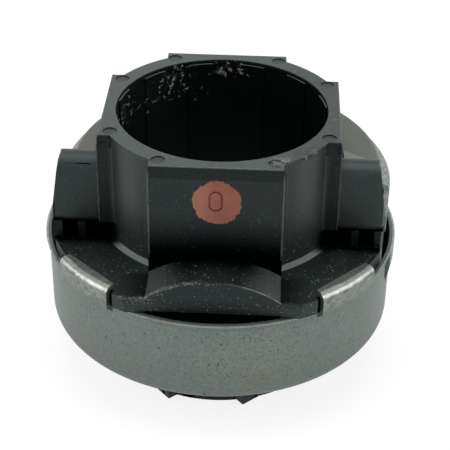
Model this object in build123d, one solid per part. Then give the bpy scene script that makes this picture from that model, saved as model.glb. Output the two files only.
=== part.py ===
from build123d import *
import math
import os

# Clutch release thrust bearing: a moulded guide sleeve, a pressed cup crimped to its flange,
# and between them a ball bearing that floats sideways and turns.
# Z runs along the shaft, the origin is on the axis at the nose end, and sizes are millimetres.

# overall heights, all measured up from the nose end
total_height = 52.6
flange_top = 30.1
cup_bottom = 9.4
thrust_face = 6.2

# guide bore with shallow lands, closed by a plain ring at the nose end
bore_r = 20.0
land_depth = 0.25
land_count = 12
land_angle = 14.5
first_land = 15.0
land_from_mouth = 0.8
land_ring_height = 4.0

# four-sided collar at the top of the sleeve
tube_wall = 3.15
pad_wall = 2.45
pad_width = 24.4
pad_bevel = 0.3
pad_bevel_height = 2.4
pad_fillet = 1.2
ejector_r = 1.35
ejector_depth = 0.2
ejector_spread = 20.8
ejector_inset = 2.45
slot_mark_height = 4.3
slot_mark_width = 2.6
slot_mark_line = 0.4
slot_mark_depth = 0.3
slot_mark_level = 45.85

# pressed cup
cup_stand = 13.85
cup_sheet = 1.0
cup_corner_r = 2.0
rim_flare = 0.6
rim_flare_height = 1.4
tab_centres = (44.6, 135.0, 226.2, 315.1)
tab_angle = 22.0
tab_relief_angle = 1.3
tab_relief_depth = 0.4
tab_root_depth = 1.8
tab_proud = 1.55
tab_bend_r = 1.4
tab_inset = 1.25
tab_flare_rise = 1.4
bulge_start = -15.5
bulge_end = 15.5
bulge_bottom = 19.8
bulge_slope = 3.8
bulge_slit_angle = 2.0
bulge_slit_bottom = 21.6
bulge_slit_top = 24.6

# flange of the sleeve
flange_overhang = 0.95
flange_side_inset = 0.45
flange_thick = 3.0
flange_front_inset = 3.0
front_slope = 3.5
front_undercut = 1.5
front_undercut_height = 0.4
front_lip = 0.3
spigot_height = 0.9
root_width = 1.1
root_height = 0.55

# fork humps, front and rear
hump_rise = 3.6
hump_arc_r = 22.8
hump_slope = 10.0

# side lugs with two windows each
lug_front = 12.0
lug_thick = 6.6
lug_top = 47.0
lug_lean = 8.4
lug_shoulder = 37.0
lug_outer_round = 0.8
lug_crown_share = 0.98
window_height = 3.6
outer_leg = 1.7
middle_leg = 1.4
outer_window = 2.9
band_height = 1.2
band_depth = 0.6

# neck and nose of the sleeve
neck_wall = 2.9
nose_height = 5.6
nose_turn = 41.5
nose_inset = 0.3
nose_chamfer = 0.5

# rear guard
guard_sheet = 1.0
guard_top = 42.5
guard_step = 2.1
guard_ledge = 39.9
guard_inset = 1.85
guard_offset = 1.05
guard_front = 4.9
guard_bend_r = 1.3
guard_gap = 0.4
guard_groove = 1.0
side_leg_angles = (-12.0, 28.0)
rear_leg_angles = (60.0, 66.0)

# ball bearing
ball_r = 2.0
ball_count = 20
race_room = 1.0
race_to_pitch = 2.9
ball_play = 0.04
pitch_to_ring_bore = 2.8
ring_recess = 0.15
shoulder_angle = 80.0
ring_nose_round = 0.9
race_low_wall = 1.3

# cage, seals, washer and spring
cage_thick = 0.8
cage_half_width = 2.6
cage_tilt = 27.0
pocket_play = 0.15
seal_thick = 1.2
seal_from_end = 0.6
seal_gap = 0.3
washer_thick = 1.0
washer_inset = 1.95
opening_gap = 1.15
spring_room = 1.6
spring_thick = 0.5
spring_waves = 4
spring_width = 1.5
spring_points = 8

# fits
sliding_gap = 0.05
slot_gap = 0.06
spigot_play = 0.25
float_reach = 0.5

# how far cutting and joining shapes run past each other
bite = 2.0

# levels and radii that follow from the sizes above
tube_r = bore_r + tube_wall
pad_reach = bore_r + pad_wall
neck_r = bore_r + neck_wall
flange_bottom = flange_top - flange_thick
hump_crest = flange_top + hump_rise
cup_r = bore_r + cup_stand
flange_r = cup_r + flange_overhang
flange_side_r = cup_r - flange_side_inset
flange_front = cup_r - flange_front_inset
spigot_bottom = flange_bottom - spigot_height
cup_floor = cup_bottom + cup_sheet
cup_inner_r = cup_r - cup_sheet
rim_level = flange_bottom
tab_root = rim_level - tab_root_depth
tab_top = flange_top + cup_sheet
tab_outer_r = cup_r + tab_proud
tab_chord = cup_r - tab_inset
lug_reach = math.sqrt(flange_side_r**2 - lug_front**2)
guard_r = flange_side_r - guard_inset
guard_plate_r = guard_r - guard_step
washer_bottom = spigot_bottom - washer_thick
washer_r = cup_inner_r - washer_inset
race_top = washer_bottom - sliding_gap
race_bottom = cup_floor + spring_room
ball_level = (race_top + race_bottom) / 2
ring_top = race_top - ring_recess
race_r = cup_inner_r - race_room
pitch_r = race_r - race_to_pitch
groove_r = ball_r + ball_play
shoulder_lean = groove_r * math.cos(math.radians(shoulder_angle))
ring_bore_r = pitch_r - pitch_to_ring_bore
ring_sleeve_r = pitch_r - groove_r
ring_shoulder_r = pitch_r - shoulder_lean
race_shoulder_r = pitch_r + shoulder_lean
race_low_bore_r = race_r - race_low_wall
cup_opening_r = ring_shoulder_r + opening_gap
window_top = flange_top + window_height
far = 2 * cup_r

# alignments of the cutting shapes
low_y = (Align.CENTER, Align.MIN)
low_z = (Align.CENTER, Align.CENTER, Align.MIN)
high_x = (Align.MAX, Align.CENTER, Align.MIN)
high_y_low_z = (Align.CENTER, Align.MAX, Align.MIN)


def ring(outer_r, inner_r, low, high):
    """A plain ring about Z between two levels."""
    wall = Circle(outer_r) - Circle(inner_r)
    return extrude(Pos(0, 0, low) * wall, high - low)


def sector(radius, start, end, low, high):
    """A pie slice about Z, from one angle to another, with its arc beyond the radius given."""
    reach = radius / math.cos(math.radians(end - start) / 2)
    steps = [start, (start + end) / 2, end]
    rim = [(reach * math.cos(math.radians(a)), reach * math.sin(math.radians(a))) for a in steps]
    face = make_face(Polyline((0, 0), *rim, close=True))
    return extrude(Pos(0, 0, low) * face, high - low)


def turned(points):
    """A solid of revolution about Z from an outline of (radius, height) points."""
    outline = Plane.XZ * Polyline(*points, close=True)
    return revolve(make_face(outline), Axis.Z)


def rounded(face, corner, radius):
    """The face with its corner nearest the given point rounded off."""
    return fillet(face.vertices().sort_by_distance((corner[0], corner[1], 0))[0], radius)


def pad_bars(reach, width, low, high):
    """Two crossed bars whose four ends are the flats of a four-sided collar."""
    bars = Rectangle(width, 2 * reach) + Rectangle(2 * reach, width)
    return extrude(Pos(0, 0, low) * bars, high - low)


def bevelled_block(width, depth):
    """A block on the flange whose sides lean in over the top band."""
    low = total_height - pad_bevel_height
    taper = math.degrees(math.atan(pad_bevel / pad_bevel_height))
    straight = extrude(Pos(0, 0, flange_bottom) * Rectangle(width, depth), low - flange_bottom)
    return straight + extrude(Pos(0, 0, low) * Rectangle(width, depth), pad_bevel_height, taper=taper)


def pad_gusset():
    """The hollow fillet between a pad's end and the tube, for one corner."""
    half = pad_width / 2
    centre_x = half + pad_fillet
    centre_y = math.sqrt((tube_r + pad_fillet)**2 - centre_x**2)
    share = tube_r / (tube_r + pad_fillet)
    touch = (centre_x * share, centre_y * share)
    reach = math.hypot(half - centre_x + touch[0] - centre_x, touch[1] - centre_y)
    middle = (centre_x + pad_fillet * (half + touch[0] - 2 * centre_x) / reach,
              centre_y + pad_fillet * (touch[1] - centre_y) / reach)
    inside = (half - pad_fillet, centre_y - 2 * pad_fillet)
    edge = ThreePointArc((half, centre_y), middle, touch) + Polyline(touch, inside, (half, centre_y))
    face = Pos(0, 0, flange_bottom) * make_face(edge)
    return extrude(face, total_height - pad_bevel_height - flange_bottom)


def collar():
    """The tube with four flats cut on it, each flat widened to a pad with hollow fillets beside it."""
    body = ring(tube_r, bore_r - bite, flange_bottom, total_height)
    body &= bevelled_block(2 * pad_reach, 2 * pad_reach)
    body += bevelled_block(pad_width, 2 * pad_reach) + bevelled_block(2 * pad_reach, pad_width)
    gusset = pad_gusset()
    for turn in (0, 90, 180, 270):
        body += Rot(0, 0, turn) * gusset
        body += Rot(0, 0, turn) * mirror(gusset, Plane.YZ)
    return body


def fork_hump():
    """The convex rise in front of a flat, on which the fork's finger bears."""
    block = Pos(0, flange_bottom) * Rectangle(pad_width, hump_crest - flange_bottom, align=low_y)
    face = block & Pos(0, hump_crest - hump_arc_r) * Circle(hump_arc_r)
    return extrude(Plane.XZ * face, flange_r)


def front_cutter():
    """All that lies in front of the sloping faces of hump and flange, and a shallow undercut below them."""
    low = spigot_bottom + front_lip
    low_y = flange_front + (flange_top - low) * math.tan(math.radians(front_slope))
    high_y = flange_front - (total_height - flange_top) * math.tan(math.radians(hump_slope))
    outline = Polyline((-low_y, low), (-flange_front, flange_top), (-high_y, total_height),
                       (-far, total_height), (-far, low), close=True)
    face = Plane.YZ * make_face(outline)
    undercut = Box(pad_width, 2 * far, front_undercut_height, align=high_y_low_z)
    return extrude(face, far, both=True) + Pos(0, front_undercut - flange_front, flange_bottom) * undercut


def flange():
    """The flange: full radius front and rear, narrower at the sides with a flat, cut back under the tabs."""
    plate = ring(flange_r, neck_r - bite, flange_bottom, flange_top)
    half = tab_angle / 2 + tab_relief_angle
    for side in (0, 180):
        zone = sector(far, side - 45 + half, side + 45 - half, flange_bottom, flange_top)
        plate -= zone & ring(far, flange_side_r, flange_bottom, flange_top)
    for middle in tab_centres:
        zone = sector(far, middle - half, middle + half, flange_bottom, flange_top)
        plate -= zone & ring(far, cup_r - sliding_gap, flange_bottom, flange_top)
    plate += ring(cup_inner_r - spigot_play, neck_r - bite, spigot_bottom, flange_bottom)
    return plate & Box(2 * lug_reach, 2 * far, 2 * total_height)


def side_lug():
    """The arm beside the right-hand flat, with its rounded top and leaning outer face."""
    middle_y = -lug_front + lug_thick / 2
    block = Pos(0, middle_y, flange_bottom) * Rectangle(2 * far, lug_thick)
    arm = extrude(block, lug_top - flange_bottom)
    crown = fillet(arm.edges().filter_by(Axis.X).group_by(Axis.Z)[-1], lug_crown_share * lug_thick / 2)
    lean = math.tan(math.radians(lug_lean)) * (lug_top - lug_shoulder)
    inner = tube_r - bite
    outline = Polyline((inner, flange_bottom), (lug_reach, flange_bottom), (lug_reach, lug_shoulder),
                       (lug_reach - lean, lug_top), (inner, lug_top), close=True)
    face = rounded(make_face(outline), (lug_reach - lean, lug_top), lug_outer_round)
    profile = extrude(Plane.XZ * face, far, both=True)
    band = Pos(0, -lug_front, window_top + band_height / 2) * Box(2 * far, 2 * band_depth, band_height)
    return (crown & profile) - band


def lug_windows():
    """Two windows under the right-hand lug: one near its outer end, one that runs in to the tube."""
    middle_y = -lug_front + lug_thick / 2
    outer_end = lug_reach - outer_leg
    inner_end = outer_end - outer_window - middle_leg
    outer_hole = Box(outer_window, lug_thick + 2 * slot_gap, window_height, align=high_x)
    inner_hole = Box(inner_end, lug_thick + bite, window_height, align=high_x)
    windows = Pos(outer_end, middle_y, flange_top) * outer_hole
    windows += Pos(inner_end, middle_y, flange_top) * inner_hole
    return windows - Cylinder(tube_r, 2 * total_height)


def guide_bore():
    """What the bore removes: round grooves between lands that stop short of the mouth."""
    through = Pos(0, 0, -bite) * Cylinder(bore_r, total_height + 2 * bite, align=low_z)
    land_top = total_height - land_from_mouth
    lands = Part()
    for i in range(land_count):
        middle = first_land + i * 360 / land_count
        wedge = sector(bore_r + bite, middle - land_angle / 2, middle + land_angle / 2, -bite, land_top)
        lands += wedge & ring(bore_r + bite, bore_r - land_depth, -bite, land_top)
    lands += ring(bore_r + bite, bore_r - land_depth, -bite, land_ring_height)
    return through - lands


def ejector_marks():
    """Round pin marks, two on the top of each flat."""
    marks = Part()
    across = pad_reach - ejector_inset
    for turn in (0, 90, 180, 270):
        for side in (-1, 1):
            spot = Rot(0, 0, turn) * Pos(side * ejector_spread / 2, across, total_height - ejector_depth)
            marks += spot * Cylinder(ejector_r, 2 * ejector_depth, align=low_z)
    return marks


def slot_mark():
    """A narrow groove in the shape of an upright slot, moulded into the front flat."""
    line = 2 * slot_mark_line
    outline = SlotOverall(slot_mark_height, slot_mark_width)
    outline -= SlotOverall(slot_mark_height - line, slot_mark_width - line)
    flat = Plane(origin=(0, -pad_reach, slot_mark_level), x_dir=(0, 0, 1), z_dir=(0, -1, 0))
    return extrude(flat * outline, slot_mark_depth, both=True)


def guide_sleeve():
    """The one-piece moulding: collar, humps, lugs, flange, neck and nose."""
    root_top = flange_top + root_height
    root = turned([(tube_r - bite, flange_top), (tube_r + root_width, flange_top), (tube_r, root_top),
                   (tube_r - bite, root_top)])
    hump = fork_hump()
    cutter = front_cutter()
    body = flange() + collar() + root + hump + Rot(0, 0, 180) * hump
    body = body - cutter - Rot(0, 0, 180) * cutter
    lug = side_lug()
    windows = lug_windows()
    body += lug + mirror(lug, Plane.YZ)
    body = body - windows - mirror(windows, Plane.YZ)
    neck = ring(neck_r, bore_r - bite, 0, flange_bottom)
    nose = pad_bars(pad_reach - nose_inset, pad_width - 2 * nose_inset, 0, nose_height)
    nose = chamfer(nose.edges().group_by(Axis.Z)[0], nose_chamfer)
    body += neck + Rot(0, 0, nose_turn) * nose
    body = body - guide_bore() - ejector_marks() - slot_mark()
    for slot in leg_slots():
        body -= slot
    return body


def leg_slots():
    """Rebates at the flange's sides and grooves at its rear for the four legs of the guard."""
    low = flange_top - guard_groove
    high = flange_top + bite
    grow = math.degrees(slot_gap / guard_r)
    slots = []
    for angles, outer_r in ((side_leg_angles, far), (rear_leg_angles, guard_r + slot_gap)):
        wall = ring(outer_r, guard_r - guard_sheet - slot_gap, low, high)
        wall -= Pos(0, -guard_front - slot_gap - far, low) * Box(4 * far, 2 * far, 4 * far)
        slot = wall & sector(far, angles[0] - grow, angles[1] + grow, low, high)
        slots.append(Pos(guard_offset, 0, 0) * slot)
        slots.append(Pos(guard_offset, 0, 0) * mirror(slot, Plane.YZ))
    return slots


def guard_section():
    """The guard's stepped section, with both bends of each step rounded."""
    foot = flange_top - guard_groove
    plate_in = guard_plate_r - guard_sheet
    wall_in = guard_r - guard_sheet
    under_top = guard_top - guard_sheet
    under_ledge = guard_ledge - guard_sheet
    outline = Polyline((bore_r, guard_top), (guard_plate_r, guard_top), (guard_plate_r, guard_ledge),
                       (guard_r, guard_ledge), (guard_r, foot), (wall_in, foot), (wall_in, under_ledge),
                       (plate_in, under_ledge), (plate_in, under_top), (bore_r, under_top), close=True)
    face = make_face(outline)
    for corner in ((guard_plate_r, guard_top), (guard_r, guard_ledge), (plate_in, under_ledge)):
        face = rounded(face, corner, guard_bend_r)
    for corner in ((guard_plate_r, guard_ledge), (wall_in, under_ledge), (plate_in, under_top)):
        face = rounded(face, corner, guard_bend_r - guard_sheet)
    return face


def rear_guard():
    """The stepped pressing behind the collar, standing on four legs in the flange."""
    low = flange_top - guard_groove - bite
    high = guard_top + bite
    span = guard_r + bite
    shell = revolve(Plane.XZ * guard_section(), Axis.Z)
    keep = Part()
    for start, end in (side_leg_angles, rear_leg_angles):
        wedge = sector(span, start, end, low, high)
        keep += wedge + mirror(wedge, Plane.YZ)
    shell -= ring(span, guard_plate_r + sliding_gap, low, high) - keep
    step_wall = ring(guard_plate_r + bite, guard_plate_r - guard_sheet - bite, low, guard_top - guard_sheet)
    shell -= step_wall - keep
    shell = Pos(guard_offset, 0, 0) * shell
    shell -= Pos(0, -guard_front - 2 * guard_r, guard_top) * Box(6 * guard_r, 4 * guard_r, 4 * guard_top)
    shell -= pad_bars(pad_reach + guard_gap, pad_width + 2 * guard_gap, low, high)
    return shell - Cylinder(tube_r + guard_gap, 4 * high)


def bearing_cup():
    """The drawn cup with its rolled floor, flared rim, folded tabs and a slit bulge in its right side."""
    flare_low = rim_level - rim_flare_height
    outline = Polyline((cup_opening_r, cup_bottom), (cup_r, cup_bottom), (cup_r, flare_low),
                       (cup_r + rim_flare, rim_level), (cup_inner_r + rim_flare, rim_level),
                       (cup_inner_r, flare_low), (cup_inner_r, cup_floor), (cup_opening_r, cup_floor),
                       close=True)
    face = rounded(make_face(outline), (cup_r, cup_bottom), cup_corner_r)
    face = rounded(face, (cup_inner_r, cup_floor), cup_corner_r - cup_sheet)
    cup = revolve(Plane.XZ * face, Axis.Z)
    cup -= sector(far, bulge_start, bulge_end, bulge_bottom, rim_level)
    cup += side_bulge() & sector(far, bulge_start, bulge_end, bulge_bottom, rim_level)
    for start in (bulge_start - bulge_slit_angle, bulge_end):
        cup -= sector(far, start, start + bulge_slit_angle, bulge_slit_bottom, bulge_slit_top)
    tab = folded_tab()
    half = tab_angle / 2
    wide = half + tab_relief_angle
    for middle in tab_centres:
        cup -= sector(far, middle - wide, middle + wide, rim_level - tab_relief_depth, tab_top)
        cup -= sector(far, middle - half, middle + half, tab_root, tab_top)
        cup += Rot(0, 0, middle) * tab
    return cup


def side_bulge():
    """The band from which the bulge in the cup's side is cut: it stands out as far as the rim does."""
    knee = bulge_bottom + bulge_slope
    outline = Polyline((cup_r, bulge_bottom), (cup_r + rim_flare, knee), (cup_r + rim_flare, rim_level),
                       (cup_inner_r + rim_flare, rim_level), (cup_inner_r + rim_flare, knee),
                       (cup_inner_r, bulge_bottom), close=True)
    return revolve(Plane.XZ * make_face(outline), Axis.Z)


def folded_tab():
    """One tab at angle zero: out round the flange's edge, up, and folded in over it to a straight end."""
    flare_top = tab_root + tab_flare_rise
    inner = tab_outer_r - cup_sheet
    tip = tab_chord - bite
    outline = Polyline((cup_inner_r, tab_root), (cup_r, tab_root), (tab_outer_r, flare_top),
                       (tab_outer_r, tab_top), (tip, tab_top), (tip, flange_top), (inner, flange_top),
                       (inner, flare_top), close=True)
    face = rounded(make_face(outline), (tab_outer_r, tab_top), tab_bend_r)
    face = rounded(face, (inner, flange_top), tab_bend_r - cup_sheet)
    band = revolve(Plane.XZ * face, Axis.Z)
    tab = band & sector(far, -tab_angle / 2, tab_angle / 2, tab_root, tab_top)
    beyond = Pos(tab_chord, 0, flange_bottom) * Box(far, far, total_height, align=high_x)
    return tab - beyond


def thrust_ring():
    """The turning ring: thin sleeve, lower raceway shoulder and rounded contact nose."""
    outline = Polyline((ring_bore_r, thrust_face), (ring_shoulder_r, thrust_face),
                       (ring_shoulder_r, ball_level), (ring_sleeve_r, ball_level), (ring_sleeve_r, ring_top),
                       (ring_bore_r, ring_top), close=True)
    face = make_face(outline)
    for corner_r in (ring_bore_r, ring_shoulder_r):
        face = rounded(face, (corner_r, thrust_face), ring_nose_round)
    face -= Pos(pitch_r, ball_level) * Circle(groove_r)
    return revolve(Plane.XZ * face, Axis.Z)


def outer_race():
    """The ring above and outside the balls, with a wider bore below them."""
    outline = Polyline((race_low_bore_r, race_bottom), (race_r, race_bottom), (race_r, race_top),
                       (race_shoulder_r, race_top), (race_shoulder_r, ball_level),
                       (race_low_bore_r, ball_level), close=True)
    face = make_face(outline)
    face -= Pos(pitch_r, ball_level) * Circle(groove_r)
    return revolve(Plane.XZ * face, Axis.Z)


def ball_places():
    """Angles of the balls round the pitch circle."""
    return [i * 360 / ball_count for i in range(ball_count)]


def ball_cage():
    """A thin cone between the races with a pocket for each ball."""
    strip = Pos(pitch_r, ball_level) * Rot(0, 0, cage_tilt) * Rectangle(cage_thick, 2 * cage_half_width)
    cage = revolve(Plane.XZ * strip, Axis.Z)
    for angle in ball_places():
        cage -= Rot(0, 0, angle) * Pos(pitch_r, 0, ball_level) * Sphere(ball_r + pocket_play)
    return cage


def wave_spring():
    """A flat ring bent into waves, which presses the bearing up against its washer."""
    outer_r = cup_inner_r - (cup_corner_r - cup_sheet) - float_reach - sliding_gap
    inner_r = outer_r - spring_width
    low = cup_floor + 2 * sliding_gap
    rise = race_bottom - 2 * sliding_gap - low - spring_thick
    edges = []
    for radius in (inner_r, outer_r):
        points = []
        count = spring_points * spring_waves
        for i in range(count):
            angle = 2 * math.pi * i / count
            height = low + rise / 2 * (1 + math.cos(spring_waves * angle))
            points.append((radius * math.cos(angle), radius * math.sin(angle), height))
        edges.append(Spline(*points, periodic=True).edge())
    face = Face.make_surface_from_curves(edges[0], edges[1])
    return Solid.extrude(face, Vector(0, 0, spring_thick))


def seal(outer_r, inner_r, low):
    """A flat sealing ring."""
    return ring(outer_r, inner_r, low, low + seal_thick)


def write(name, solid):
    """One STEP file for each piece."""
    export_step(solid, "parts/" + name + ".step")


os.makedirs("parts", exist_ok=True)
lower_seal_low = race_bottom + seal_from_end
upper_seal_low = race_top - seal_from_end - seal_thick
write("guide_sleeve", guide_sleeve())
write("bearing_cup", bearing_cup())
write("rear_guard", rear_guard())
write("backing_washer", ring(washer_r, neck_r + guard_gap, washer_bottom, spigot_bottom))
write("wave_spring", wave_spring())
write("outer_race", outer_race())
write("lower_seal", seal(race_low_bore_r - sliding_gap, ring_shoulder_r + seal_gap, lower_seal_low))
write("upper_seal", seal(race_shoulder_r - sliding_gap, ring_sleeve_r + seal_gap, upper_seal_low))
write("thrust_ring", thrust_ring())
write("ball_cage", ball_cage())
for i, angle in enumerate(ball_places()):
    write("ball_%02d" % (i + 1), Rot(0, 0, angle) * Pos(pitch_r, 0, ball_level) * Sphere(ball_r))
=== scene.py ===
import bpy
import math
from mathutils import Matrix, Vector

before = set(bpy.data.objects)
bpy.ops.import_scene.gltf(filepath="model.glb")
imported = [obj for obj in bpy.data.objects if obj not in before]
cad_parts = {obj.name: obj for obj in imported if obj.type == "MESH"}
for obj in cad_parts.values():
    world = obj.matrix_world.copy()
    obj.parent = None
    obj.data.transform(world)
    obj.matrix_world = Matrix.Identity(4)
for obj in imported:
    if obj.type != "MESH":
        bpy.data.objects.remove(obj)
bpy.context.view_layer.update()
MM = 0.001

# places on the part that the finishes follow
BORE_R = 20.0 * MM
TUBE_R = 23.15 * MM
FLAT_REACH = 22.45 * MM
FLAT_HALF = 12.2 * MM
BAND_FOOT = 50.2 * MM
LAND_TOP = 51.8 * MM
MOUTH = 52.6 * MM
FLANGE_TOP = 30.1 * MM
FLANGE_FRONT = 30.85 * MM
HUMP_CREST = 33.7 * MM
HUMP_ARC = 22.8 * MM
HUMP_LEAN = math.tan(math.radians(10))
ARM_FRONT = -12.0 * MM
ARM_REACH = 31.17 * MM
SEAM_LEVEL = 45.93 * MM
CUP_R = 33.85 * MM
CUP_BOTTOM = 9.4 * MM
RIM_LEVEL = 27.1 * MM
TAB_BEND = 30.5 * MM
GUARD_LEDGE = 39.9 * MM
FOLD_SLOPE = 0.72

# how near to a surface or an edge a finish has to be
NEAR = 0.1 * MM

# colours of the black plastic, its painted sheen, shade and edge highlights, its dust and its paint
PLASTIC_DARK = (0.0025, 0.0045, 0.0045, 1)
PLASTIC_LIGHT = (0.005, 0.008, 0.0078, 1)
PLASTIC_GRAIN = (0.0125, 0.0165, 0.016, 1)
# painted sheen, high on the tube and on the humps' ends
PLASTIC_SHEEN = (0.052, 0.060, 0.058, 1)
# painted shade, in the bore and the hollows
PAINTED_SHADE_BLACK = (0.0006, 0.0012, 0.0014, 1)
SEAM_BLACK = (0.0005, 0.001, 0.001, 1)
MOUTH_GREY = (0.03, 0.036, 0.035, 1)
# painted highlights on edges
EDGE_HIGHLIGHT_GREY = (0.22, 0.245, 0.24, 1)
DUST_GREY = (0.30, 0.33, 0.315, 1)
# the bore's dust, painted paler than the rest as painted light against the bore's dim light
BORE_DUST_BRIGHTENED = (0.56, 0.585, 0.53, 1)
PAINT_DEEP = (0.33, 0.10, 0.068, 1)
PAINT_FULL = (0.52, 0.19, 0.135, 1)
PAINT_PALE = (0.60, 0.26, 0.19, 1)

# colours of the cup
CUP_DARK = (0.130, 0.160, 0.147, 1)
CUP_LIGHT = (0.180, 0.212, 0.194, 1)
CUP_WARM = (0.185, 0.200, 0.170, 1)
CUP_PALE_GRAIN = (0.235, 0.265, 0.242, 1)
CUP_DARK_GRAIN = (0.080, 0.100, 0.088, 1)
CUP_FOOT = (0.10, 0.12, 0.108, 1)
# painted highlight along the foot
CUP_FOOT_HIGHLIGHT = (0.33, 0.36, 0.335, 1)
# painted highlight on the rim's lip
CUP_LIP_HIGHLIGHT = (0.36, 0.39, 0.36, 1)
CUP_LEDGE = (0.06, 0.068, 0.062, 1)
# painted shade inside the rim
CUP_INSIDE_SHADE = (0.02, 0.024, 0.023, 1)
TAB_DARK = (0.125, 0.140, 0.127, 1)
TAB_LIGHT = (0.265, 0.290, 0.262, 1)
# painted light on the tabs' leaves
TAB_LEAF_LIT = (0.22, 0.24, 0.215, 1)
# painted highlight on the tabs' ridges
TAB_RIDGE_HIGHLIGHT = (0.47, 0.50, 0.46, 1)
SPECK_BLACK = (0.02, 0.022, 0.018, 1)
RUST_BROWN = (0.15, 0.105, 0.055, 1)

# colours of the guard
GUARD_DARK = (0.094, 0.102, 0.085, 1)
GUARD_LIGHT = (0.135, 0.145, 0.125, 1)
# painted light on a facet beyond the fold
GUARD_LIT_FACET = (0.21, 0.23, 0.22, 1)
GUARD_SPECK = (0.06, 0.055, 0.045, 1)
ZINC_DARK = (0.16, 0.18, 0.17, 1)
ZINC_LIGHT = (0.33, 0.36, 0.34, 1)
# painted light on the legs, lit from the right
LEG_LIT_DARK = (0.20, 0.22, 0.21, 1)
LEG_LIT_LIGHT = (0.42, 0.455, 0.43, 1)

# colours inside the cup
RACE_DARK = (0.40, 0.41, 0.42, 1)
RACE_LIGHT = (0.52, 0.53, 0.54, 1)
BALL_DARK = (0.62, 0.63, 0.64, 1)
BALL_LIGHT = (0.72, 0.73, 0.74, 1)
STRIP_DARK = (0.22, 0.23, 0.25, 1)
STRIP_LIGHT = (0.32, 0.33, 0.34, 1)
CAGE_DARK = (0.46, 0.40, 0.26, 1)
CAGE_LIGHT = (0.58, 0.52, 0.36, 1)
RUBBER_DARK = (0.012, 0.012, 0.012, 1)
RUBBER_LIGHT = (0.026, 0.026, 0.025, 1)

# where dust lies thick: the middle and reach of each heap in millimetres, and how thick it lies
DUST_HEAPS = {
    "bore, behind on the left": ((-10, 16.5, 49), (8, 6, 6), 0.6),
    "bore, behind in the middle": ((1, 19.8, 50.5), (6, 3, 3), 0.75),
    "bore, left": ((-18.5, 5, 48), (4, 8, 5), 0.6),
    "bore, below the middle heap": ((-6, 18.5, 45), (5, 4, 3), 0.35),
    "bore, below the left heap": ((-15, 12, 46), (5, 5, 3), 0.35),
    "pin mark, front right": ((11.5, -19.2, 52.6), (3.4, 2.6, 1), 1.2),
    "collar's rim, front right": ((18, -17, 52.4), (5.5, 4, 1.2), 1.1),
    "hump's left end": ((-11.5, -30.6, 31.2), (4, 1.2, 1.3), 0.8),
    "hump's front edge": ((-3, -30.3, 33.4), (7, 0.8, 0.7), 0.9),
    "hump's right half": ((9, -27.5, 33), (5, 4, 1.5), 0.5),
    "flange's edge, left": ((-12.5, -31, 29.5), (4, 1.2, 1.5), 0.8),
    "flange, right": ((22, -18, FLANGE_TOP / MM), (9, 8, 2), 0.35),
    "flange, front right": ((20, -24.5, FLANGE_TOP / MM), (6, 5, 1), 0.35),
}


# camera, as fitted to the bore, the collar and the flange

CAMERA_PLACE = Vector((9.12, -217.19, 170.6)) * MM
CAMERA_LENS = 104.73
CAMERA_TURN = math.radians(-2.176)
CAMERA_DIP = math.radians(33.634)
CAMERA_ROLL = math.radians(0.850)
CAMERA_FILM = 36
CAMERA_NEAR = 0.01


def set_camera():
    """The camera at the photograph's place, with its long lens."""
    level = Vector((math.cos(CAMERA_TURN), -math.sin(CAMERA_TURN), 0))
    ahead = Vector((math.sin(CAMERA_TURN) * math.cos(CAMERA_DIP),
                    math.cos(CAMERA_TURN) * math.cos(CAMERA_DIP),
                    -math.sin(CAMERA_DIP)))
    rise = level.cross(ahead)
    right = math.cos(CAMERA_ROLL) * level + math.sin(CAMERA_ROLL) * rise
    up = math.cos(CAMERA_ROLL) * rise - math.sin(CAMERA_ROLL) * level
    lens = bpy.data.cameras.new("camera")
    lens.lens = CAMERA_LENS
    lens.sensor_width = CAMERA_FILM
    lens.clip_start = CAMERA_NEAR
    camera = bpy.data.objects.new("camera", lens)
    bpy.context.collection.objects.link(camera)
    turned = Matrix((right, up, -ahead)).transposed().to_4x4()
    camera.matrix_world = Matrix.Translation(CAMERA_PLACE) @ turned
    bpy.context.scene.camera = camera


# node helpers

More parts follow.
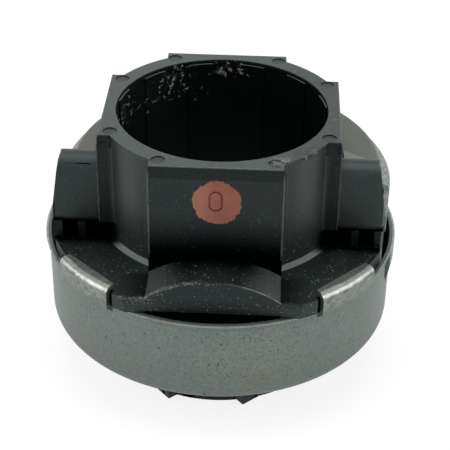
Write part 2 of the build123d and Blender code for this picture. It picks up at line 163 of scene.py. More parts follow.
class Finish:
    """A material under construction: its nodes, its links and its main shader."""

    def __init__(self, name):
        self.material = bpy.data.materials.new(name)
        self.material.use_nodes = True
        self.tree = self.material.node_tree
        self.tree.nodes.clear()
        self.shader = self.tree.nodes.new("ShaderNodeBsdfPrincipled")
        output = self.tree.nodes.new("ShaderNodeOutputMaterial")
        self.tree.links.new(self.shader.outputs["BSDF"], output.inputs["Surface"])
        place = self.tree.nodes.new("ShaderNodeTexCoord")
        self.place = place.outputs["Object"]
        split = self.tree.nodes.new("ShaderNodeSeparateXYZ")
        self.tree.links.new(self.place, split.inputs[0])
        self.x, self.y, self.z = split.outputs

    def join(self, value, socket):
        """Links an output to a socket, or writes a plain number or colour into it."""
        if isinstance(value, bpy.types.NodeSocket):
            self.tree.links.new(value, socket)
        else:
            socket.default_value = value

    def math(self, operation, a, b=0.0):
        """One math node."""
        node = self.tree.nodes.new("ShaderNodeMath")
        node.operation = operation
        self.join(a, node.inputs[0])
        self.join(b, node.inputs[1])
        return node.outputs[0]

    def times(self, *values):
        """All the values multiplied together."""
        total = values[0]
        for value in values[1:]:
            total = self.math("MULTIPLY", total, value)
        return total

    def most(self, *values):
        """The largest of the values."""
        total = values[0]
        for value in values[1:]:
            total = self.math("MAXIMUM", total, value)
        return total

    def rest(self, value):
        """What the value leaves of 1."""
        return self.math("SUBTRACT", 1.0, value)

    def off(self, value, mark):
        """How far the value is from the mark, either way."""
        return self.math("ABSOLUTE", self.math("SUBTRACT", value, mark))

    def length(self, a, b):
        """Length of the vector (a, b)."""
        return self.math("SQRT", self.math("ADD", self.math("MULTIPLY", a, a), self.math("MULTIPLY", b, b)))

    def step(self, value, start, end):
        """0 at start and 1 at end, smooth between them and level beyond; start may be the larger."""
        node = self.tree.nodes.new("ShaderNodeMapRange")
        node.interpolation_type = "SMOOTHSTEP"
        self.join(value, node.inputs["Value"])
        node.inputs["From Min"].default_value = min(start, end)
        node.inputs["From Max"].default_value = max(start, end)
        node.inputs["To Min"].default_value = 0.0 if start < end else 1.0
        node.inputs["To Max"].default_value = 1.0 if start < end else 0.0
        return node.outputs["Result"]

    def zone(self, value, low, high, soft):
        """1 between two bounds and 0 outside them, with soft ends of that width."""
        return self.times(self.step(value, low - soft, low), self.step(value, high + soft, high))

    def noise(self, grain, detail=3.0, rough=0.5, stretch=(1, 1, 1), shift=0.0):
        """Noise whose grains are about that many metres across; another shift gives another pattern."""
        spread = self.tree.nodes.new("ShaderNodeMapping")
        self.join(self.place, spread.inputs["Vector"])
        spread.inputs["Scale"].default_value = stretch
        spread.inputs["Location"].default_value = (shift, shift, shift)
        node = self.tree.nodes.new("ShaderNodeTexNoise")
        self.join(spread.outputs[0], node.inputs["Vector"])
        node.inputs["Scale"].default_value = 1 / grain
        node.inputs["Detail"].default_value = detail
        node.inputs["Roughness"].default_value = rough
        return node.outputs["Fac"]

    def specks(self, pitch, size, share, shift=0.0):
        """Small irregular specks: cells of that pitch in metres, of which a share holds a speck."""
        spread = self.tree.nodes.new("ShaderNodeMapping")
        self.join(self.place, spread.inputs["Vector"])
        spread.inputs["Location"].default_value = (shift, shift, shift)
        wobble = self.tree.nodes.new("ShaderNodeTexNoise")
        self.join(spread.outputs[0], wobble.inputs["Vector"])
        wobble.inputs["Scale"].default_value = 2.5 / pitch
        push = self.tree.nodes.new("ShaderNodeVectorMath")
        push.operation = "MULTIPLY_ADD"
        self.join(wobble.outputs["Color"], push.inputs[0])
        push.inputs[1].default_value = (0.5 * pitch,) * 3
        self.join(spread.outputs[0], push.inputs[2])
        cells = self.tree.nodes.new("ShaderNodeTexVoronoi")
        self.join(push.outputs[0], cells.inputs["Vector"])
        cells.inputs["Scale"].default_value = 1 / pitch
        chosen = self.tree.nodes.new("ShaderNodeSeparateColor")
        self.join(cells.outputs["Color"], chosen.inputs[0])
        inside = self.step(cells.outputs["Distance"], size, 0.7 * size)
        strength = self.math("ADD", self.math("MULTIPLY", chosen.outputs[1], 0.75), 0.25)
        return self.times(inside, strength, self.math("LESS_THAN", chosen.outputs[0], share))

    def blob(self, centre, reach):
        """1 near a centre, fading to 0 at its reach along each axis, both in millimetres."""
        shift = self.tree.nodes.new("ShaderNodeVectorMath")
        shift.operation = "SUBTRACT"
        self.join(self.place, shift.inputs[0])
        shift.inputs[1].default_value = [c * MM for c in centre]
        shrink = self.tree.nodes.new("ShaderNodeVectorMath")
        shrink.operation = "DIVIDE"
        self.join(shift.outputs[0], shrink.inputs[0])
        shrink.inputs[1].default_value = [r * MM for r in reach]
        size = self.tree.nodes.new("ShaderNodeVectorMath")
        size.operation = "LENGTH"
        self.join(shrink.outputs[0], size.inputs[0])
        return self.step(size.outputs["Value"], 1.0, 0.35)

    def mix(self, amount, under, over):
        """Colour under, covered by colour over by that amount."""
        node = self.tree.nodes.new("ShaderNodeMix")
        node.data_type = "RGBA"
        self.join(amount, node.inputs[0])
        self.join(under, node.inputs[6])
        self.join(over, node.inputs[7])
        return node.outputs[2]

    def blend(self, amount, under, over):
        """Number under, covered by number over by that amount."""
        node = self.tree.nodes.new("ShaderNodeMix")
        self.join(amount, node.inputs[0])
        self.join(under, node.inputs[2])
        self.join(over, node.inputs[3])
        return node.outputs[0]

    def bump(self, height, depth, strength=1.0, after=None):
        """Surface relief of that depth in metres, on top of an earlier relief if one is given."""
        node = self.tree.nodes.new("ShaderNodeBump")
        node.inputs["Strength"].default_value = strength
        node.inputs["Distance"].default_value = depth
        self.join(height, node.inputs["Height"])
        if after is not None:
            self.join(after, node.inputs["Normal"])
        return node.outputs["Normal"]

    def set(self, **sockets):
        """Values or links for the main shader's sockets, by name with _ for spaces."""
        for name, value in sockets.items():
            self.join(value, self.shader.inputs[name.replace("_", " ")])


# finishes

class Sleeve(Finish):
    """The sleeve's finish, with the measures that its flats, humps and arms share."""

    def __init__(self, name):
        super().__init__(name)
        self.across = self.math("ABSOLUTE", self.x)
        self.deep = self.math("ABSOLUTE", self.y)
        self.outer = self.math("MAXIMUM", self.across, self.deep)
        self.inner = self.math("MINIMUM", self.across, self.deep)
        self.radius = self.length(self.x, self.y)
        self.on_flat = self.times(self.zone(self.outer, FLAT_REACH - 0.4 * MM, FLAT_REACH + NEAR, 0.05 * MM),
                                  self.step(self.inner, FLAT_HALF + NEAR, FLAT_HALF))
        run = self.math("SUBTRACT", HUMP_ARC * HUMP_ARC, self.math("MULTIPLY", self.x, self.x))
        arc = self.math("SQRT", self.math("MAXIMUM", run, 0.0))
        crest = self.math("ADD", arc, HUMP_CREST - HUMP_ARC)
        off_crest = self.math("SUBTRACT", self.z, crest)
        self.on_hump = self.times(self.zone(off_crest, -0.14 * MM, 0.08 * MM, 0.04 * MM),
                                  self.step(self.deep, FLAT_REACH, FLAT_REACH + NEAR),
                                  self.step(self.across, FLAT_HALF + NEAR, FLAT_HALF))
        lean = self.math("MULTIPLY", self.math("SUBTRACT", self.z, FLANGE_TOP), HUMP_LEAN)
        self.to_front = self.math("SUBTRACT", self.math("ADD", self.deep, lean), FLANGE_FRONT)

    def bore_wall(self):
        """1 on the bore, from just below its mouth."""
        return self.times(self.step(self.radius, BORE_R + 0.3 * MM, BORE_R + NEAR),
                          self.step(self.z, MOUTH - NEAR, MOUTH - 0.65 * MM))

    def collar_painted_shade(self):
        """Painted shade on the collar: on the flats' feet, bands and ends, and in the corners between the
        flats.
        """
        foot = self.times(self.on_flat, self.step(self.z, 44.5 * MM, 33.6 * MM))
        band = self.times(self.on_flat, self.step(self.z, BAND_FOOT - 0.05 * MM, BAND_FOOT + NEAR), 0.3)
        pad_end = self.times(self.zone(self.deep, FLAT_HALF - NEAR, FLAT_HALF + NEAR, NEAR),
                             self.step(self.across, 19.5 * MM, 20.5 * MM), 0.45)
        uneven = self.step(self.noise(1.2 * MM, 4.0, 0.7, shift=0.55), 0.35, 0.6)
        band_end = self.times(self.zone(self.deep, FLAT_HALF - 0.36 * MM, FLAT_HALF + NEAR, 0.04 * MM),
                              self.step(self.across, 19.2 * MM, 19.8 * MM),
                              self.step(self.z, BAND_FOOT - NEAR, BAND_FOOT + NEAR),
                              self.step(self.z, MOUTH - 0.05 * MM, MOUTH - 0.2 * MM),
                              self.blend(uneven, 0.75, 0.4))
        gusset = self.times(self.zone(self.inner, FLAT_HALF + NEAR, 13.4 * MM, 0.3 * MM),
                            self.step(self.radius, TUBE_R + 0.05 * MM, TUBE_R + 0.2 * MM),
                            self.step(self.outer, FLAT_REACH - 0.15 * MM, FLAT_REACH - 0.25 * MM),
                            self.step(self.z, 32 * MM, 34 * MM), 0.45)
        return self.most(foot, band, pad_end, band_end, gusset)

    def flange_painted_shade(self):
        """Painted shade behind and beside the humps, round the arms' feet, on the flange's edge and on the
        nose.
        """
        behind_hump = self.times(self.on_hump, self.step(self.inner, 10.5 * MM, 5 * MM),
                                 self.step(self.deep, 28.5 * MM, FLAT_REACH))
        beside_hump = self.times(self.zone(self.z, FLANGE_TOP - NEAR, FLANGE_TOP + NEAR, NEAR),
                                 self.step(self.deep, 22 * MM, 24 * MM),
                                 self.step(self.across, 19 * MM, FLAT_HALF),
                                 self.step(self.to_front, -0.1 * MM, -0.4 * MM), 0.75)
        arm_leg = self.times(self.zone(self.y, ARM_FRONT - 0.03 * MM, ARM_FRONT + 0.03 * MM, 0.02 * MM),
                             self.step(self.across, 23.2 * MM, 23.3 * MM), 0.4)
        round_arm = self.times(self.step(self.z, 34.6 * MM, 33.5 * MM),
                               self.zone(self.y, ARM_FRONT - 0.6 * MM, ARM_FRONT + 7 * MM, 2.6 * MM),
                               self.step(self.across, 17 * MM, 20 * MM), self.rest(arm_leg))
        lip = self.times(self.step(self.z, RIM_LEVEL + 0.2 * MM, RIM_LEVEL),
                         self.step(self.radius, 28 * MM, 29 * MM))
        side = self.times(self.zone(self.radius, 33.1 * MM, 34 * MM, NEAR),
                          self.step(self.deep, 26 * MM, 25 * MM), 0.7)
        nose = self.times(self.step(self.z, 9 * MM, 7 * MM), 0.55)
        return self.most(behind_hump, beside_hump, round_arm, lip, side, nose)

    def film(self):
        """A painted grey sheen: high on the round of the tube, and on the ends of the humps."""
        tube = self.times(self.zone(self.radius, TUBE_R - 0.2 * MM, TUBE_R + 0.25 * MM, NEAR),
                          self.step(self.z, 33 * MM, 44 * MM),
                          self.step(self.inner, FLAT_HALF + 1.2 * MM, 15.5 * MM), 0.45)
        hump_ends = self.times(self.on_hump, self.step(self.across, 4.5 * MM, 10.5 * MM),
                               self.blend(self.step(self.x, -1 * MM, 1 * MM), 0.75, 1.1))
        return self.most(tube, hump_ends)

    def edge_highlights(self):
        """Painted highlights along moulded edges, the tube's root ring and the land tops; at the pad corners
        partly wear too.
        """
        corner = self.math("ADD", self.off(self.outer, FLAT_REACH - 0.05 * MM),
                           self.off(self.inner, FLAT_HALF - NEAR))
        wear_and_highlight = self.times(self.step(corner, 0.4 * MM, 0.1 * MM), self.step(self.z, 33 * MM, 35 * MM), 0.6)
        arm = self.times(self.zone(self.x, ARM_REACH - 0.4 * MM, ARM_REACH + NEAR, NEAR),
                         self.zone(self.z, 29 * MM, 42 * MM, 3 * MM),
                         self.step(self.y, ARM_FRONT + 0.2 * MM, ARM_FRONT + 0.05 * MM), 1.8)
        hump = self.times(self.on_hump, self.step(self.to_front, -0.26 * MM, -0.14 * MM),
                          self.step(self.x, 1 * MM, 8 * MM), 0.9)
        brim = self.times(self.step(self.z, MOUTH - 0.2 * MM, MOUTH - 0.08 * MM),
                          self.zone(self.outer, FLAT_REACH - 0.45 * MM, FLAT_REACH, 0.05 * MM), 0.5)
        uneven = self.blend(self.step(self.noise(1.1 * MM, 3.0), 0.25, 0.58), 0.35, 1.0)
        tube_root = self.times(self.zone(self.radius, 23.2 * MM, 24.3 * MM, NEAR),
                               self.zone(self.z, FLANGE_TOP + 0.06 * MM, FLANGE_TOP + 0.5 * MM, 0.06 * MM),
                               self.step(self.y, -13.5 * MM, -16 * MM), 1.15)
        land_tops = self.times(self.zone(self.z, LAND_TOP - 0.04 * MM, LAND_TOP + 0.04 * MM, 0.02 * MM),
                               self.step(self.radius, BORE_R - 0.02 * MM, BORE_R - 0.04 * MM),
                               self.step(self.noise(9 * MM, 1.0, shift=0.4), 0.38, 0.55), 0.7)
        return self.most(self.times(self.most(wear_and_highlight, arm, hump, brim), uneven), tube_root, land_tops)

    def single_specks(self, on_flange, shade):
        """Single specks of dust everywhere, more on the flange and few in the shade."""
        hump_front = self.times(self.zone(self.to_front, -0.1 * MM, 0.5 * MM, 0.05 * MM),
                                self.step(self.z, FLANGE_TOP, 31 * MM))
        amount = self.math("ADD", self.times(on_flange, self.rest(self.times(hump_front, 0.75))), 0.4)
        amount = self.times(amount, self.rest(self.times(shade, 0.85)))
        broken = self.step(self.noise(0.15 * MM, 2.0, shift=0.1), 0.34, 0.46)
        sizes = self.most(self.specks(0.36 * MM, 0.36, 0.06), self.specks(0.9 * MM, 0.17, 0.11, shift=0.7),
                          self.specks(1.9 * MM, 0.13, 0.12, shift=0.25))
        return self.times(sizes, broken, amount)

    def lint(self, on_flange, shade):
        """Short curled threads, most of them on the flange."""
        curl = self.off(self.noise(1.1 * MM, 2.0, 0.5, shift=0.45), 0.5)
        short = self.step(self.noise(0.8 * MM, 2.0, shift=0.85), 0.60, 0.64)
        return self.times(self.step(curl, 0.016, 0.006), short, self.most(on_flange, 0.25), self.rest(shade))

    def heaps(self):
        """Flecks that lie close together where the dust is thick, coarser in the bore."""
        thick = 0.0
        for centre, reach, strength in DUST_HEAPS.values():
            thick = self.most(self.times(self.blob(centre, reach), strength), thick)
        in_bore = self.step(self.radius, BORE_R + 0.6 * MM, BORE_R + 0.3 * MM)
        fine = self.noise(0.4 * MM, 6.0, 0.8, shift=0.3)
        coarse = self.noise(0.9 * MM, 5.0, 0.7, shift=0.3)
        flecks = self.math("ADD", self.blend(in_bore, fine, coarse), self.times(thick, 0.16))
        return self.times(self.step(flecks, 0.64, 0.72), self.step(thick, 0.0, 0.2),
                          self.step(self.noise(1.9 * MM, 3.0, 0.6, shift=0.6), 0.38, 0.5))

    def scuffs(self):
        """Ragged scuffs on the left of the front hump's edge and on the flange's edge beside it."""
        ragged = self.step(self.noise(0.45 * MM, 6.0, 0.85, shift=0.65), 0.47, 0.57)
        hump = self.times(self.on_hump, self.step(self.to_front, -1.3 * MM, -0.2 * MM),
                          self.step(self.x, -1 * MM, -6 * MM))
        flange = self.times(self.zone(self.z, FLANGE_TOP - 0.3 * MM, FLANGE_TOP + 0.05 * MM, 0.05 * MM),
                            self.step(self.to_front, -1.0 * MM, -0.2 * MM),
                            self.step(self.x, -9 * MM, -12.5 * MM), 0.7)
        return self.times(ragged, self.step(self.y, -25 * MM, -26 * MM), self.most(hump, flange))

    def dust(self, shade):
        """All the pale dust on the sleeve."""
        on_flange = self.times(self.step(self.z, 38 * MM, 31 * MM), self.step(self.y, -6 * MM, -16 * MM))
        return self.most(self.single_specks(on_flange, shade), self.lint(on_flange, shade), self.heaps(),
                         self.scuffs())

    def grime(self):
        """Dull grains, where dust lies on the mouth at the front right."""
        patches = self.most(self.blob((11.5, -19.5, 52.6), (3.4, 2.4, 1)),
                            self.blob((18, -17, 52.4), (6, 4.5, 1.2)))
        return self.times(patches, self.step(self.noise(0.6 * MM, 5.0, 0.75, shift=0.15), 0.44, 0.56), 0.75)

    def arm_seam(self):
        """The seam high on the left arm, darker at its right end."""
        return self.times(self.zone(self.z, SEAM_LEVEL - 0.06 * MM, SEAM_LEVEL + 0.07 * MM, 0.04 * MM),
                          self.zone(self.x, -28.2 * MM, -23.9 * MM, 0.5 * MM),
                          self.blend(self.step(self.x, -26.6 * MM, -25.6 * MM), 0.35, 1.0),
                          self.step(self.y, ARM_FRONT + 1.2 * MM, ARM_FRONT + 1.0 * MM))

    def paint_dab(self):
        """Where the paint lies on the front flat: a dab with a ragged edge."""
        across = self.math("DIVIDE", self.math("SUBTRACT", self.x, 0.25 * MM), 4.5 * MM)
        along = self.math("DIVIDE", self.math("SUBTRACT", self.z, 45.6 * MM), 4.55 * MM)
        ragged = self.math("SUBTRACT", self.noise(1.2 * MM, 5.0, 0.65), 0.5)
        away = self.math("ADD", self.length(across, along), self.times(ragged, 0.38))
        return self.times(self.step(away, 1.0, 0.96), self.step(self.y, -21.6 * MM, -21.9 * MM))

    def paint(self):
        """The salmon paint, uneven and paler on its left."""
        tone = self.noise(2.2 * MM, 4.0, 0.6, shift=0.2)
        paler = self.times(self.step(self.x, 0.5 * MM, -3.5 * MM), 0.6)
        return self.mix(paler, self.mix(tone, PAINT_DEEP, PAINT_FULL), PAINT_PALE)


def sleeve_plastic():
    """Black moulded plastic with a low gloss: dust, scuffs, painted edge highlights, sheen and shade, and
    paint on its front flat.
    """
    f = Sleeve("black_moulded_plastic")
    cloud = f.noise(9 * MM, 4.0, 0.55)
    wall = f.bore_wall()
    painted_shade_in_hollows = f.most(f.collar_painted_shade(), f.flange_painted_shade())
    shade = f.most(wall, painted_shade_in_hollows)
    seam = f.arm_seam()
    mouth = f.step(f.z, MOUTH - 0.25 * MM, MOUTH - 0.1 * MM)
    light = f.edge_highlights()
    dust = f.dust(shade)
    dab = f.paint_dab()

    # colour, from the bare plastic through painted sheen, shade and edge highlights up to what lies on it
    grain = f.step(f.noise(0.38 * MM, 5.0, 0.85, shift=0.75), 0.46, 0.66)
    grey = f.times(mouth, f.step(f.noise(0.9 * MM, 5.0, 0.75, shift=0.5), 0.35, 0.7))
    colour = f.mix(cloud, PLASTIC_DARK, PLASTIC_LIGHT)
    colour = f.mix(f.times(grain, f.blend(cloud, 0.2, 0.9)), colour, PLASTIC_GRAIN)
    # painted sheen high on the tube and on the humps' ends
    colour = f.mix(f.times(f.film(), f.blend(cloud, 0.8, 1.1)), colour, PLASTIC_SHEEN)
    # painted shade in the bore and the hollows
    colour = f.mix(shade, colour, PAINTED_SHADE_BLACK)
    colour = f.mix(f.times(seam, 0.9), colour, SEAM_BLACK)
    colour = f.mix(grey, colour, MOUTH_GREY)
    # painted highlights on edges, the tube's root ring and the land tops
    colour = f.mix(light, colour, EDGE_HIGHLIGHT_GREY)
    # dust, paler in the bore as painted light
    colour = f.mix(f.times(dust, 0.9), colour, f.mix(wall, DUST_GREY, BORE_DUST_BRIGHTENED))
    colour = f.mix(dab, colour, f.paint())

    # gloss: more on the mouth, less on what stands upright, none where shade is painted in the hollows
    upright = f.most(f.on_flat, f.zone(f.to_front, -0.1 * MM, 0.5 * MM, 0.05 * MM))
    gloss = f.blend(upright, 0.46, 0.36)
    gloss = f.blend(mouth, gloss, f.blend(f.step(f.x, 6 * MM, 18 * MM), 0.78, 0.58))
    gloss = f.blend(f.grime(), gloss, 0.0)
    gloss = f.blend(wall, gloss, f.blend(f.step(f.x, -6 * MM, -17 * MM), 0.12, 0.4))
    gloss = f.blend(f.most(painted_shade_in_hollows, seam), gloss, 0.0)
    gloss = f.blend(f.most(dab, dust), gloss, 0.25)

    rough = f.blend(cloud, 0.38, 0.48)
    rough = f.blend(f.math("MINIMUM", f.most(dust, light), 1.0), rough, 0.85)
    relief = f.bump(f.noise(0.16 * MM, 2.0), 0.012 * MM, 0.3)
    relief = f.bump(f.math("ADD", dab, f.times(dust, 0.8)), 0.06 * MM, 0.7, relief)
    f.set(Base_Color=colour, Roughness=rough, Specular_IOR_Level=gloss, Specular_Tint=(0.84, 1.0, 0.98, 1),
          Normal=relief)
    return f.material


class Cup(Finish):
    """The cup's finish, with the measures that its rim and its tabs share."""

    def __init__(self, name):
        super().__init__(name)
        across = self.math("ABSOLUTE", self.x)
        deep = self.math("ABSOLUTE", self.y)
        self.radius = self.length(self.x, self.y)
        self.diagonal = self.math("DIVIDE", self.math("MINIMUM", across, deep),
                                  self.math("MAXIMUM", across, deep))

    def sheet(self, cloud, mottle):
        """The drawn sheet: mottled, warmer at the front right, darker at its foot, with a painted highlight
        line along its foot.
        """
        warm = self.times(self.blob((8, -33, 18), (13, 12, 9)), 0.5)
        foot_highlight = self.times(self.zone(self.z, CUP_BOTTOM + 0.5 * MM, CUP_BOTTOM + 0.85 * MM, 0.2 * MM),
                               self.step(self.noise(2.2 * MM, 4.0, 0.7, shift=0.4), 0.35, 0.6), 0.45)
        colour = self.mix(cloud, CUP_DARK, CUP_LIGHT)
        colour = self.mix(warm, colour, CUP_WARM)
        colour = self.mix(self.times(self.step(mottle, 0.47, 0.66), 0.5), colour, CUP_PALE_GRAIN)
        colour = self.mix(self.times(self.step(mottle, 0.48, 0.30), 0.65), colour, CUP_DARK_GRAIN)
        colour = self.mix(self.times(self.step(self.z, 22 * MM, 11 * MM), 0.3), colour, CUP_FOOT)
        # painted highlight along the foot
        return self.mix(foot_highlight, colour, CUP_FOOT_HIGHLIGHT)

    def rim(self, colour):
        """The rim's outer lip with a painted highlight, broken by dirt, its darker top, and painted shade
        inside, deeper lower down.
        """
        smeared = self.step(self.noise(1.3 * MM, 4.0, 0.7, shift=0.15), 0.36, 0.5)
        lip = self.times(self.zone(self.z, RIM_LEVEL - 0.25 * MM, RIM_LEVEL + NEAR, NEAR),
                         self.step(self.radius, CUP_R + 0.15 * MM, CUP_R + 0.3 * MM),
                         self.step(self.diagonal, 0.64, 0.61), self.blend(smeared, 0.15, 0.85))
        ledge = self.times(self.zone(self.z, RIM_LEVEL - 0.05 * MM, RIM_LEVEL + NEAR, 0.03 * MM),
                           self.step(self.radius, CUP_R + 0.25 * MM, CUP_R + 0.1 * MM), 0.5)
        inside = self.times(self.step(self.radius, CUP_R - 0.25 * MM, CUP_R - 0.45 * MM),
                            self.step(self.z, RIM_LEVEL + 0.05 * MM, RIM_LEVEL - 0.05 * MM),
                            self.blend(self.step(self.z, 23 * MM, 26 * MM), 0.85, 0.5))
        # painted highlight on the lip
        colour = self.mix(lip, colour, CUP_LIP_HIGHLIGHT)
        colour = self.mix(ledge, colour, CUP_LEDGE)
        # painted shade inside, deeper lower down
        return self.mix(inside, colour, CUP_INSIDE_SHADE)

    def tab_colour(self, brushed):
        """A tab from its bend up: brushed and dirty, its leaf painted an even lighter grey as painted light
        on its top, and a painted highlight on its ridge, broken up by wear.
        """
        leaf = self.times(self.step(self.z, TAB_BEND - 0.2 * MM, TAB_BEND + 0.2 * MM), 0.6)
        wear_and_highlight = self.times(self.step(brushed, 0.36, 0.56),
                          self.step(self.noise(0.3 * MM, 3.0, 0.7, shift=0.6), 0.34, 0.58))
        ridge = self.times(self.zone(self.z, TAB_BEND - 0.2 * MM, TAB_BEND + 0.16 * MM, 0.18 * MM),
                           self.step(self.radius, CUP_R + 0.45 * MM, CUP_R + 0.75 * MM),
                           self.blend(wear_and_highlight, 0.2, 0.95))
        colour = self.mix(self.step(brushed, 0.33, 0.66), TAB_DARK, TAB_LIGHT)
        # painted light on the leaf
        colour = self.mix(leaf, colour, TAB_LEAF_LIT)
        # painted highlight on the ridge
        return self.mix(ridge, colour, TAB_RIDGE_HIGHLIGHT)

    def dark_specks(self):
        """Dark specks and short streaks, thicker at the front on the right."""
        streaks = self.step(self.noise(0.4 * MM, 5.0, 0.75, stretch=(1, 1, 0.7), shift=0.8), 0.60, 0.66)
        fine = self.most(self.specks(0.42 * MM, 0.34, 0.2), streaks)
        coarse = self.most(self.specks(0.9 * MM, 0.2, 0.10, shift=0.3),
                           self.specks(1.7 * MM, 0.13, 0.25, shift=0.55))
        front = self.most(self.blob((8, -33, 20), (17, 14, 11)), self.blob((0, -34, 25), (8, 3, 2.5)))
        elsewhere = self.times(self.step(self.noise(7 * MM, 3.0, shift=0.9), 0.45, 0.6), 0.5)
        return self.most(self.times(fine, self.blend(front, elsewhere, 1.0)), coarse)

    def stains(self):
        """Faint brown stains below the rim and near the foot."""
        patches = self.most(self.blob((-9, -33, 26.6), (4.5, 3, 0.9)), self.blob((9, -32, 14), (5, 4, 2.5)))
        return self.times(patches, self.step(self.noise(0.5 * MM, 4.0, 0.7), 0.42, 0.6), 0.5)


def cup_steel():
    """Drawn sheet steel, dull, with dark specks, a painted highlight on the rim, and brushed folded tabs."""
    f = Cup("drawn_sheet_steel")
    cloud = f.noise(6 * MM, 5.0, 0.6)
    mottle = f.noise(0.75 * MM, 6.0, 0.8, shift=0.5)
    drawn = f.noise(0.5 * MM, 3.0, 0.5, stretch=(1, 1, 0.18))
    brushed = f.noise(1.3 * MM, 6.0, 0.7, stretch=(1, 1, 2), shift=0.35)
    tabs = f.times(f.step(f.z, 26.2 * MM, 28.6 * MM), f.step(f.diagonal, 0.6, 0.62))
    specks = f.times(f.dark_specks(), f.rest(tabs))
    colour = f.rim(f.sheet(cloud, mottle))
    colour = f.mix(tabs, colour, f.tab_colour(brushed))
    colour = f.mix(f.times(specks, 0.95), colour, SPECK_BLACK)
    colour = f.mix(f.stains(), colour, RUST_BROWN)

    rough = f.blend(cloud, 0.42, 0.52)
    rough = f.blend(tabs, rough, f.blend(brushed, 0.22, 0.5))
    rough = f.blend(specks, rough, 0.8)
    relief = f.bump(drawn, 0.012 * MM, 0.25)
    relief = f.bump(mottle, 0.02 * MM, 0.2, relief)
    relief = f.bump(cloud, 0.12 * MM, 0.2, relief)
    f.set(Base_Color=colour, Metallic=f.blend(tabs, 0.88, 0.85), Roughness=rough, Normal=relief)
    return f.material


def guard_steel():
    """Smooth sheet steel with a faint brown film, clean and galvanised on its lower step."""
    f = Finish("smooth_brown_steel")
    cloud = f.noise(11 * MM, 4.0, 0.5)
    # painted light: a lighter facet beyond the fold line, on the right
    fold = f.math("ADD", f.math("MULTIPLY", f.x, FOLD_SLOPE), f.y)
    fold = f.times(f.step(fold, 19.9 * MM, 19.6 * MM), f.step(f.x, 5 * MM, 6 * MM), 0.7)
    colour = f.mix(fold, f.mix(cloud, GUARD_DARK, GUARD_LIGHT), GUARD_LIT_FACET)

    # bare zinc below the step, painted paler lower on the legs as painted light from the right
    spangle = f.step(f.noise(0.8 * MM, 4.0, 0.7, shift=0.2), 0.35, 0.65)
    patchy = f.step(f.noise(2.5 * MM, 5.0, 0.7, shift=0.6), 0.35, 0.65)
    lit_legs = f.times(f.step(f.z, GUARD_LEDGE - 0.4 * MM, GUARD_LEDGE - 2.9 * MM), 0.85)
    zinc = f.mix(lit_legs, f.mix(spangle, ZINC_DARK, ZINC_LIGHT), f.mix(patchy, LEG_LIT_DARK, LEG_LIT_LIGHT))
    colour = f.mix(f.step(f.z, GUARD_LEDGE + 1.4 * MM, GUARD_LEDGE + 0.3 * MM), colour, zinc)
    colour = f.mix(f.times(f.specks(0.8 * MM, 0.24, 0.10), 0.65), colour, GUARD_SPECK)
    relief = f.bump(f.noise(0.4 * MM, 2.0), 0.012 * MM, 0.2)
    f.set(Base_Color=colour, Metallic=0.85, Roughness=f.blend(cloud, 0.42, 0.52), Normal=relief)
    return f.material


def ground_steel(name, dark, light, rough_low, rough_high):
    """Turned and ground bearing steel, with fine rings round its axis."""
    f = Finish(name)
    turning = f.noise(0.25 * MM, 2.0, stretch=(0.08, 0.08, 1))
    cloud = f.noise(7 * MM, 3.0)
    f.set(Base_Color=f.mix(cloud, dark, light), Metallic=1.0, Roughness=f.blend(cloud, rough_low, rough_high),
          Normal=f.bump(turning, 0.01 * MM, 0.3))
    return f.material


def cage_plastic():
    """Natural-coloured moulded plastic of the cage."""
    f = Finish("natural_moulded_plastic")
    cloud = f.noise(4 * MM, 3.0)
    f.set(Base_Color=f.mix(cloud, CAGE_DARK, CAGE_LIGHT), Roughness=f.blend(cloud, 0.4, 0.55),
          Normal=f.bump(f.noise(0.2 * MM, 2.0), 0.02 * MM, 0.3))
    return f.material


def seal_rubber():
    """Matt black sealing rubber."""
    f = Finish("matt_sealing_rubber")
    cloud = f.noise(3 * MM, 4.0)
    f.set(Base_Color=f.mix(cloud, RUBBER_DARK, RUBBER_LIGHT), Roughness=f.blend(cloud, 0.7, 0.85),
          Normal=f.bump(f.noise(0.15 * MM, 2.0), 0.02 * MM, 0.4))
    return f.material


def finish_nodes():
    """Gives every piece its material; the balls are all that the list leaves out."""
    race = ground_steel("ground_race_steel", RACE_DARK, RACE_LIGHT, 0.22, 0.32)
    ball = ground_steel("polished_ball_steel", BALL_DARK, BALL_LIGHT, 0.08, 0.14)
    strip = ground_steel("spring_strip_steel", STRIP_DARK, STRIP_LIGHT, 0.3, 0.42)
    rubber = seal_rubber()
    finishes = {
        "guide_sleeve": sleeve_plastic(),
        "bearing_cup": cup_steel(),
        "rear_guard": guard_steel(),
        "backing_washer": race,
        "outer_race": race,
        "thrust_ring": race,
        "wave_spring": strip,
        "lower_seal": rubber,
        "upper_seal": rubber,
        "ball_cage": cage_plastic(),
    }
    for name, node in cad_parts.items():
        node.data.materials.clear()
        node.data.materials.append(finishes.get(name, ball))


# floor, lamps and world

FLOOR_LEVEL = -0.05 * MM
FLOOR_RADIUS = 6
FLOOR_PALE = (0.8, 0.8, 0.8, 1)
FLOOR_SEEN = (0.28, 0.28, 0.28, 1)
FLOOR_GLOW = 0.84
WHITE = (1, 1, 1, 1)
WORLD_LIGHT = 0.12
WORLD_SEEN = 1.0
PART_MIDDLE = Vector((0, 0, 25)) * MM

# each lamp's place in metres, its power in watts and its width in metres
LAMPS = {
    "left_lamp": ((-0.52, -0.16, 0.36), 1.7, 0.5),
    "right_lamp": ((0.54, -0.14, 0.34), 1.5, 0.5),
    "top_lamp": ((0.0, 0.12, 0.75), 2.4, 0.6),
}


def see_through_paths(tree):
    """1 for rays from the camera, off gloss and through glass, else 0."""
    paths = tree.nodes.new("ShaderNodeLightPath")
    total = paths.outputs["Is Camera Ray"]
    for name in ("Is Glossy Ray", "Is Transmission Ray"):
        node = tree.nodes.new("ShaderNodeMath")
        node.operation = "MAXIMUM"
        tree.links.new(total, node.inputs[0])
        tree.links.new(paths.outputs[name], node.inputs[1])
        total = node.outputs[0]
    return total


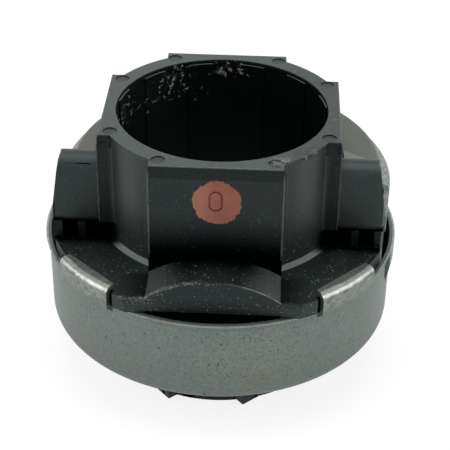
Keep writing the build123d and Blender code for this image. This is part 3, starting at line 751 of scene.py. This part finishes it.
def lay_floor():
    """A plain pale floor just under the nose, which keeps the shadow."""
    bpy.ops.object.select_all(action="DESELECT")
    bpy.ops.mesh.primitive_circle_add(vertices=96, radius=FLOOR_RADIUS, fill_type="NGON",
                                      location=(0, 0, FLOOR_LEVEL))
    floor = bpy.context.active_object
    floor.name = "floor"
    material = bpy.data.materials.new("pale_floor")
    material.use_nodes = True
    tree = material.node_tree
    tree.nodes.clear()
    output = tree.nodes.new("ShaderNodeOutputMaterial")
    plain = tree.nodes.new("ShaderNodeBsdfDiffuse")
    plain.inputs["Color"].default_value = FLOOR_PALE
    dim = tree.nodes.new("ShaderNodeBsdfDiffuse")
    dim.inputs["Color"].default_value = FLOOR_SEEN
    glow = tree.nodes.new("ShaderNodeEmission")
    glow.inputs["Strength"].default_value = FLOOR_GLOW
    seen = tree.nodes.new("ShaderNodeAddShader")
    tree.links.new(dim.outputs[0], seen.inputs[0])
    tree.links.new(glow.outputs[0], seen.inputs[1])
    mixed = tree.nodes.new("ShaderNodeMixShader")
    tree.links.new(see_through_paths(tree), mixed.inputs[0])
    tree.links.new(plain.outputs[0], mixed.inputs[1])
    tree.links.new(seen.outputs[0], mixed.inputs[2])
    tree.links.new(mixed.outputs[0], output.inputs["Surface"])
    floor.data.materials.append(material)


def hang_lamp(name, place, power, size):
    """A large soft lamp that looks at the part."""
    lamp = bpy.data.lights.new(name, "AREA")
    lamp.shape = "SQUARE"
    lamp.size = size
    lamp.energy = power
    holder = bpy.data.objects.new(name, lamp)
    bpy.context.collection.objects.link(holder)
    holder.location = place
    aim = PART_MIDDLE - Vector(place)
    holder.rotation_euler = aim.to_track_quat("-Z", "Y").to_euler()


def light_world():
    """An even pale world: white where it is seen, softer where it lights the part."""
    world = bpy.data.worlds.new("world")
    bpy.context.scene.world = world
    world.use_nodes = True
    tree = world.node_tree
    tree.nodes.clear()
    output = tree.nodes.new("ShaderNodeOutputWorld")
    soft = tree.nodes.new("ShaderNodeBackground")
    soft.inputs["Color"].default_value = WHITE
    soft.inputs["Strength"].default_value = WORLD_LIGHT
    white = tree.nodes.new("ShaderNodeBackground")
    white.inputs["Color"].default_value = WHITE
    white.inputs["Strength"].default_value = WORLD_SEEN
    mixed = tree.nodes.new("ShaderNodeMixShader")
    tree.links.new(see_through_paths(tree), mixed.inputs[0])
    tree.links.new(soft.outputs[0], mixed.inputs[1])
    tree.links.new(white.outputs[0], mixed.inputs[2])
    tree.links.new(mixed.outputs[0], output.inputs["Surface"])


set_camera()
finish_nodes()
lay_floor()
light_world()
for name, (place, power, size) in LAMPS.items():
    hang_lamp(name, place, power, size)
bpy.context.scene.view_settings.view_transform = "Standard"

bpy.context.view_layer.update()
